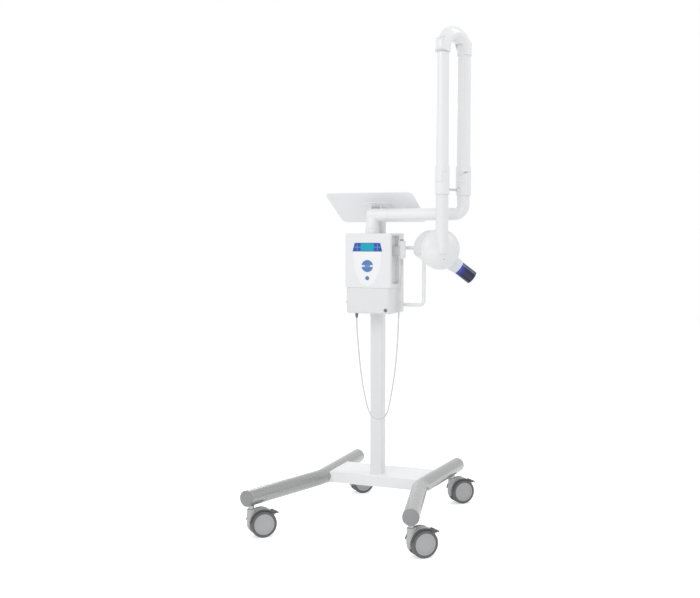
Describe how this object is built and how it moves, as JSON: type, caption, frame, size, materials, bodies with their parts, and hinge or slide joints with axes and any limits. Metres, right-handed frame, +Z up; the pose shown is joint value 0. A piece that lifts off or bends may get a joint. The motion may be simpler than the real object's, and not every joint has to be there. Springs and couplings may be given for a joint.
{
  "type": "mobile dental x-ray unit",
  "caption": "Castored stand with column, control box, hand switch, sloping tray and a folding swivel arm that carries a tilting tube head with an open cone.",
  "frame": {"origin": "on the floor under the middle of the unit's bounding box, the cord left out", "axes": "+Z up, -Y towards the user who faces the control panel, +X to the side the arm is parked over"},
  "size_m": [0.7658, 0.8757, 1.8806],
  "materials": {
    "white_paint": "satin",
    "silver_paint": "metallic satin",
    "light_grey_paint": "satin",
    "white_plastic": "fine texture",
    "dark_plastic": "matte",
    "zinc_steel": "zinc plated",
    "panel_grey": "matte",
    "display_glass": "clear gloss",
    "board_green": "coated",
    "cast_aluminium": "cast",
    "cord_grey": "matte",
    "key_blue": "matte",
    "key_pale": "matte",
    "cone_blue": "satin gloss",
    "tyre_grey": "matte",
    "pedal_grey": "matte"
  },
  "bodies": {
    "stand": {"base_plate": "white_paint", "leg_left": "silver_paint", "leg_right": "silver_paint", "leg_end_caps": "dark_plastic", "castor_stems": "zinc_steel", "column": "white_paint", "tray_bracket": "white_paint", "tray": "light_grey_paint", "box_back": "white_plastic", "box_front_cover": "white_plastic", "box_lower_cover": "white_plastic", "keypad_panel": "panel_grey", "display_window": "display_glass", "control_board": "board_green", "power_module": "cast_aluminium", "arm_bracket": "zinc_steel", "push_handle": "white_paint", "handset_holder": "white_plastic", "cord_gland": "dark_plastic", "handset_cord": "cord_grey"},
    "key_up": {"key_up": "key_blue"},
    "key_down": {"key_down": "key_blue"},
    "key_select": {"key_select": "key_pale"},
    "key_lamp": {"key_lamp": "key_pale"},
    "mains_key": {"mains_key": "dark_plastic"},
    "handset": {"handset": "white_plastic"},
    "handset_button": {"handset_button": "key_blue"},
    "extension": {"extension_elbow": "white_paint", "extension_arm": "white_paint"},
    "shoulder": {"shoulder_fork": "white_paint"},
    "lower_arm": {"lower_arm": "white_paint", "lower_arm_spring": "zinc_steel"},
    "knuckle": {"knuckle_lower_half": "white_plastic", "knuckle_outer_half": "white_plastic"},
    "outer_arm": {"outer_arm": "white_paint", "outer_arm_spring": "zinc_steel"},
    "wrist": {"wrist_fork": "white_paint"},
    "transport_link": {"transport_link": "dark_plastic"},
    "yoke": {"head_yoke": "white_paint"},
    "head": {"head_housing": "white_plastic", "head_cover": "white_plastic", "tube_tank": "cast_aluminium", "beam_neck": "white_plastic", "beam_cone": "cone_blue"},
    "castor_front_left": {"castor_front_left_housing": "dark_plastic"},
    "castor_front_left_wheel_outer": {"castor_front_left_wheel_outer": "tyre_grey"},
    "castor_front_left_wheel_inner": {"castor_front_left_wheel_inner": "tyre_grey"},
    "castor_front_left_pedal": {"castor_front_left_pedal": "pedal_grey"},
    "castor_rear_left": {"castor_rear_left_housing": "dark_plastic"},
    "castor_rear_left_wheel_outer": {"castor_rear_left_wheel_outer": "tyre_grey"},
    "castor_rear_left_wheel_inner": {"castor_rear_left_wheel_inner": "tyre_grey"},
    "castor_rear_left_pedal": {"castor_rear_left_pedal": "pedal_grey"},
    "castor_front_right": {"castor_front_right_housing": "dark_plastic"},
    "castor_front_right_wheel_outer": {"castor_front_right_wheel_outer": "tyre_grey"},
    "castor_front_right_wheel_inner": {"castor_front_right_wheel_inner": "tyre_grey"},
    "castor_front_right_pedal": {"castor_front_right_pedal": "pedal_grey"},
    "castor_rear_right": {"castor_rear_right_housing": "dark_plastic"},
    "castor_rear_right_wheel_outer": {"castor_rear_right_wheel_outer": "tyre_grey"},
    "castor_rear_right_wheel_inner": {"castor_rear_right_wheel_inner": "tyre_grey"},
    "castor_rear_right_pedal": {"castor_rear_right_pedal": "pedal_grey"}
  },
  "joints": [
    {"name": "key_up_press", "type": "slide", "parent": "stand", "child": "key_up", "axis": [0, 1, 0], "range_m": [0, 0.0008], "stiffness_N_per_m": 400},
    {"name": "key_down_press", "type": "slide", "parent": "stand", "child": "key_down", "axis": [0, 1, 0], "range_m": [0, 0.0008], "stiffness_N_per_m": 400},
    {"name": "key_select_press", "type": "slide", "parent": "stand", "child": "key_select", "axis": [0, 1, 0], "range_m": [0, 0.0008], "stiffness_N_per_m": 400},
    {"name": "key_lamp_press", "type": "slide", "parent": "stand", "child": "key_lamp", "axis": [0, 1, 0], "range_m": [0, 0.0008], "stiffness_N_per_m": 400},
    {"name": "mains_key_press", "type": "slide", "parent": "stand", "child": "mains_key", "axis": [0, 1, 0], "range_m": [0, 0.002], "stiffness_N_per_m": 400},
    {"name": "handset_lift", "type": "slide", "parent": "stand", "child": "handset", "axis": [0, 0, 1], "range_m": [0, 0.06]},
    {"name": "handset_button_press", "type": "slide", "parent": "handset", "child": "handset_button", "axis": [0, 0, -1], "range_m": [0, 0.003], "stiffness_N_per_m": 400},
    {"name": "extension_swivel", "type": "hinge", "parent": "stand", "child": "extension", "pos_m": [-0.0235, -0.005, 1.146], "axis": [0, 0, 1], "range_deg": [-180, 0]},
    {"name": "arm_swivel", "type": "hinge", "parent": "extension", "child": "shoulder", "pos_m": [0.3415, -0.005, 1.267], "axis": [0, 0, 1], "range_deg": [-20, 265]},
    {"name": "lower_arm_tilt", "type": "hinge", "parent": "shoulder", "child": "lower_arm", "pos_m": [0.3415, -0.005, 1.324], "axis": [0.9124, -0.4093, 0], "range_deg": [0, 60]},
    {"name": "knuckle_level", "type": "hinge", "parent": "lower_arm", "child": "knuckle", "pos_m": [0.3415, -0.005, 1.809], "axis": [0.9124, -0.4093, 0], "range_deg": [-60, 0]},
    {"name": "outer_arm_tilt", "type": "hinge", "parent": "knuckle", "child": "outer_arm", "pos_m": [0.2935, -0.112, 1.809], "axis": [-0.9124, 0.4093, 0], "range_deg": [0, 90]},
    {"name": "wrist_level", "type": "hinge", "parent": "outer_arm", "child": "wrist", "pos_m": [0.2935, -0.112, 1.324], "axis": [-0.9124, 0.4093, 0], "range_deg": [-90, 0]},
    {"name": "head_swivel", "type": "hinge", "parent": "wrist", "child": "yoke", "pos_m": [0.2935, -0.112, 1.268], "axis": [0, 0, 1], "range_deg": [-200, 45]},
    {"name": "head_tilt", "type": "hinge", "parent": "yoke", "child": "head", "pos_m": [0.25656, -0.06472, 1.067], "axis": [-0.6157, 0.788, 0], "range_deg": [-45, 150]},
    {"name": "link_turn", "type": "hinge", "parent": "shoulder", "child": "transport_link", "pos_m": [0.32656, -0.0383, 1.286], "axis": [0.9124, -0.4093, 0], "range_deg": [0, 85]},
    {"name": "castor_front_left_swivel", "type": "hinge", "parent": "stand", "child": "castor_front_left", "pos_m": [-0.34691, -0.40121, 0.108], "axis": [0, 0, 1], "continuous": true},
    {"name": "castor_front_left_wheel_outer_spin", "type": "hinge", "parent": "castor_front_left", "child": "castor_front_left_wheel_outer", "pos_m": [-0.31721, -0.37151, 0.05], "axis": [-0.7071, 0.7071, 0], "continuous": true},
    {"name": "castor_front_left_wheel_inner_spin", "type": "hinge", "parent": "castor_front_left", "child": "castor_front_left_wheel_inner", "pos_m": [-0.31721, -0.37151, 0.05], "axis": [-0.7071, 0.7071, 0], "continuous": true},
    {"name": "castor_front_left_pedal_press", "type": "hinge", "parent": "castor_front_left", "child": "castor_front_left_pedal", "pos_m": [-0.28594, -0.34025, 0.08981], "axis": [-0.7071, 0.7071, 0], "range_deg": [0, 20]},
    {"name": "castor_rear_left_swivel", "type": "hinge", "parent": "stand", "child": "castor_rear_left", "pos_m": [-0.25728, 0.35515, 0.108], "axis": [0, 0, 1], "continuous": true},
    {"name": "castor_rear_left_wheel_outer_spin", "type": "hinge", "parent": "castor_rear_left", "child": "castor_rear_left_wheel_outer", "pos_m": [-0.22758, 0.38485, 0.05], "axis": [-0.7071, 0.7071, 0], "continuous": true},
    {"name": "castor_rear_left_wheel_inner_spin", "type": "hinge", "parent": "castor_rear_left", "child": "castor_rear_left_wheel_inner", "pos_m": [-0.22758, 0.38485, 0.05], "axis": [-0.7071, 0.7071, 0], "continuous": true},
    {"name": "castor_rear_left_pedal_press", "type": "hinge", "parent": "castor_rear_left", "child": "castor_rear_left_pedal", "pos_m": [-0.19632, 0.41612, 0.08981], "axis": [-0.7071, 0.7071, 0], "range_deg": [0, 20]},
    {"name": "castor_front_right_swivel", "type": "hinge", "parent": "stand", "child": "castor_front_right", "pos_m": [0.28191, -0.40121, 0.108], "axis": [0, 0, 1], "continuous": true},
    {"name": "castor_front_right_wheel_outer_spin", "type": "hinge", "parent": "castor_front_right", "child": "castor_front_right_wheel_outer", "pos_m": [0.31161, -0.37151, 0.05], "axis": [-0.7071, 0.7071, 0], "continuous": true},
    {"name": "castor_front_right_wheel_inner_spin", "type": "hinge", "parent": "castor_front_right", "child": "castor_front_right_wheel_inner", "pos_m": [0.31161, -0.37151, 0.05], "axis": [-0.7071, 0.7071, 0], "continuous": true},
    {"name": "castor_front_right_pedal_press", "type": "hinge", "parent": "castor_front_right", "child": "castor_front_right_pedal", "pos_m": [0.34287, -0.34025, 0.08981], "axis": [-0.7071, 0.7071, 0], "range_deg": [0, 20]},
    {"name": "castor_rear_right_swivel", "type": "hinge", "parent": "stand", "child": "castor_rear_right", "pos_m": [0.19228, 0.35515, 0.108], "axis": [0, 0, 1], "continuous": true},
    {"name": "castor_rear_right_wheel_outer_spin", "type": "hinge", "parent": "castor_rear_right", "child": "castor_rear_right_wheel_outer", "pos_m": [0.22198, 0.38485, 0.05], "axis": [-0.7071, 0.7071, 0], "continuous": true},
    {"name": "castor_rear_right_wheel_inner_spin", "type": "hinge", "parent": "castor_rear_right", "child": "castor_rear_right_wheel_inner", "pos_m": [0.22198, 0.38485, 0.05], "axis": [-0.7071, 0.7071, 0], "continuous": true},
    {"name": "castor_rear_right_pedal_press", "type": "hinge", "parent": "castor_rear_right", "child": "castor_rear_right_pedal", "pos_m": [0.25325, 0.41612, 0.08981], "axis": [-0.7071, 0.7071, 0], "range_deg": [0, 20]}
  ],
  "couplings": [
    {"joint": "knuckle_level", "follows": "lower_arm_tilt", "ratio": -1},
    {"joint": "wrist_level", "follows": "outer_arm_tilt", "ratio": -1}
  ]
}
